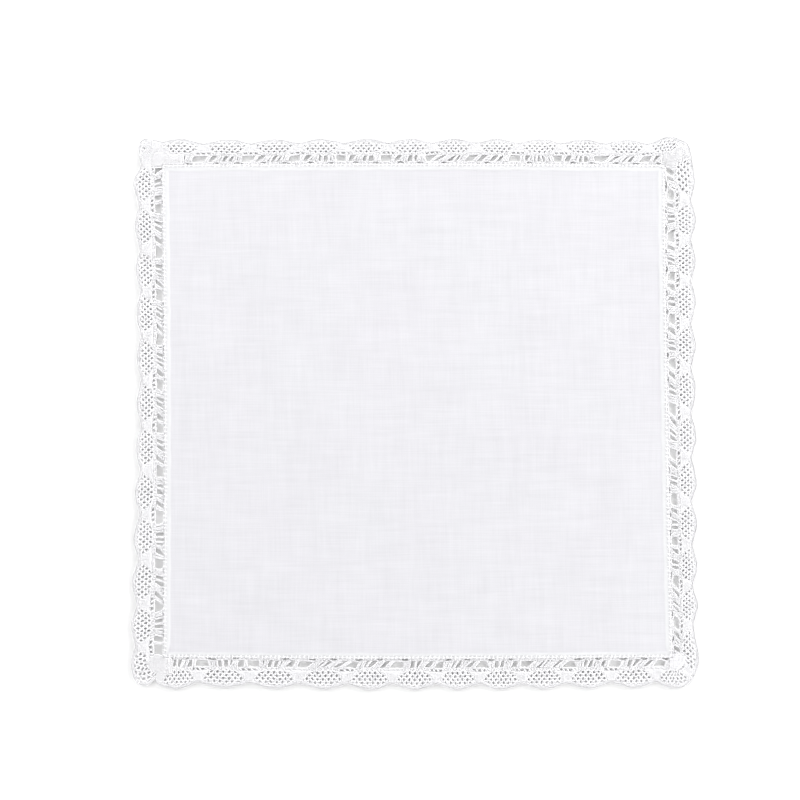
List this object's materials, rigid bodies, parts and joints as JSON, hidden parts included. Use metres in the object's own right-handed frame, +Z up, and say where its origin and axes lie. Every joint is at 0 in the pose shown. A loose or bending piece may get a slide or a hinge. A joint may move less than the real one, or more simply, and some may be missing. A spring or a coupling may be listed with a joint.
{
  "type": "lace handkerchief",
  "caption": "Flat square handkerchief of fine white cotton lawn with a narrow hem and a scalloped white lace edging sewn round it.",
  "frame": {"origin": "middle of the handkerchief's box, on the surface it lies on", "axes": "+Z up out of the cloth, +X along its slightly longer way, +Y towards the back side; the lapped corner is at -X +Y"},
  "size_m": [0.2836, 0.2764, 0.0019],
  "materials": {
    "cotton_lawn": "fine plain weave, matt, faintly sheer",
    "cotton_lace": "matt cotton thread, open lace"
  },
  "bodies": {
    "root": {"cloth_panel": "cotton_lawn", "lace_edging": "cotton_lace"}
  },
  "joints": []
}
